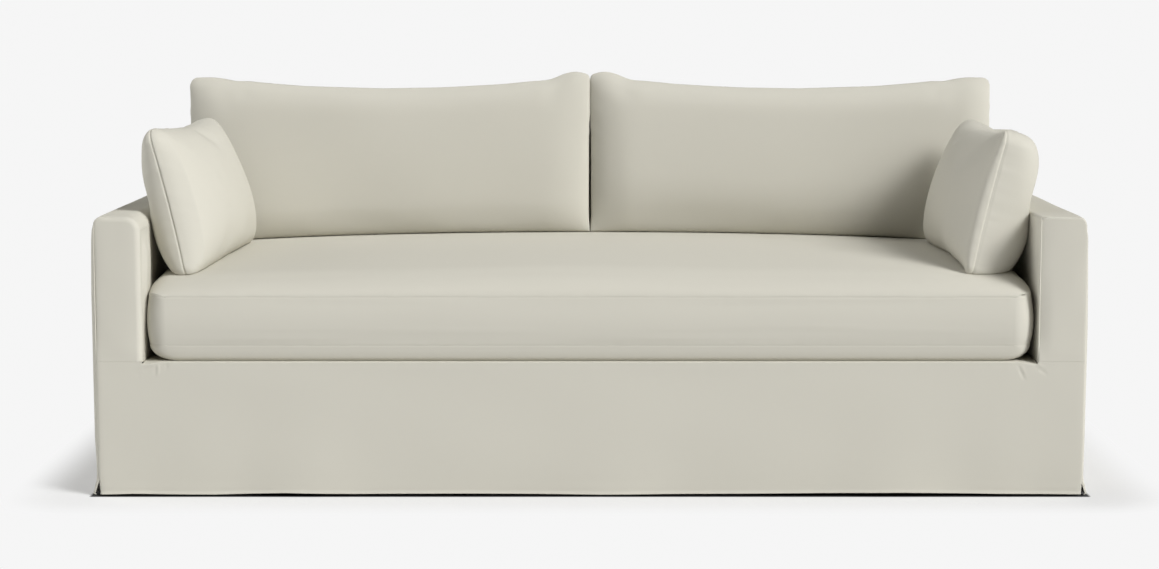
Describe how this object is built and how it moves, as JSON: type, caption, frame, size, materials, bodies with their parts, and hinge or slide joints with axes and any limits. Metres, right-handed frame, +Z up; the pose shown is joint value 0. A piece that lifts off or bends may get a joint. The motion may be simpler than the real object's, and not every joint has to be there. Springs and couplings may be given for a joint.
{
  "type": "sofa slipcover",
  "caption": "Fitted plain linen slipcover for a long sofa: hollow body cover to the floor, with its covered bench seat, back cushions and leaning side pillows.",
  "frame": {"origin": "middle of the object's footprint, at the height of the lowest hems, on the floor", "axes": "+Z up, +X along the length to the right as seen from the front, front towards -Y"},
  "size_m": [2.204, 0.9773, 0.9173],
  "materials": {
    "linen": "matt plain weave"
  },
  "bodies": {
    "root": {"skirt_front": "linen", "arm_front_left": "linen", "arm_front_right": "linen", "arm_inside_left": "linen", "arm_inside_right": "linen", "arm_top_left": "linen", "arm_top_right": "linen", "arm_outer_left": "linen", "arm_outer_right": "linen", "deck": "linen", "back_inside": "linen", "back_top": "linen", "back_end_left": "linen", "back_end_right": "linen", "back_outer": "linen", "seat_cushion": "linen", "back_cushion_left": "linen", "back_cushion_right": "linen", "side_pillow_left": "linen", "side_pillow_right": "linen"}
  },
  "joints": []
}
